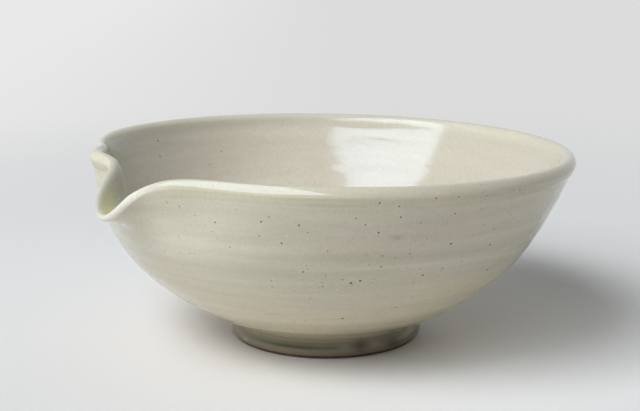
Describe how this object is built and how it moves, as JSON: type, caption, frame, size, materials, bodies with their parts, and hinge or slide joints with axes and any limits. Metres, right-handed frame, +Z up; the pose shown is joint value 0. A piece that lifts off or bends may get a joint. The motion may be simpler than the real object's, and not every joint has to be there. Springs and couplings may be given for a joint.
{
  "type": "katakuchi sake pourer",
  "caption": "Open stoneware pouring bowl with a rolled rim, a pinched pouring lip and a foot ring, under a glossy pale ash glaze.",
  "frame": {"origin": "middle of the foot ring, on the plane of the table", "axes": "+Z up, +X from the middle of the foot towards the pouring lip"},
  "size_m": [0.1567, 0.1509, 0.0622],
  "materials": {
    "stoneware": "fired stoneware under the glaze",
    "foot_clay": "bare reddish-brown stoneware",
    "outside_glaze": "glossy pale ash glaze with iron specks",
    "inside_glaze": "glossy pinkish-beige ash glaze",
    "foot_glaze": "glossy olive ash glaze, pooled dark",
    "base_glaze": "glossy ash glaze"
  },
  "bodies": {
    "root": {"clay_bowl": "stoneware", "foot_ring": "foot_clay", "outside_glaze": "outside_glaze", "inside_glaze": "inside_glaze", "foot_glaze": "foot_glaze", "base_glaze": "base_glaze"}
  },
  "joints": []
}
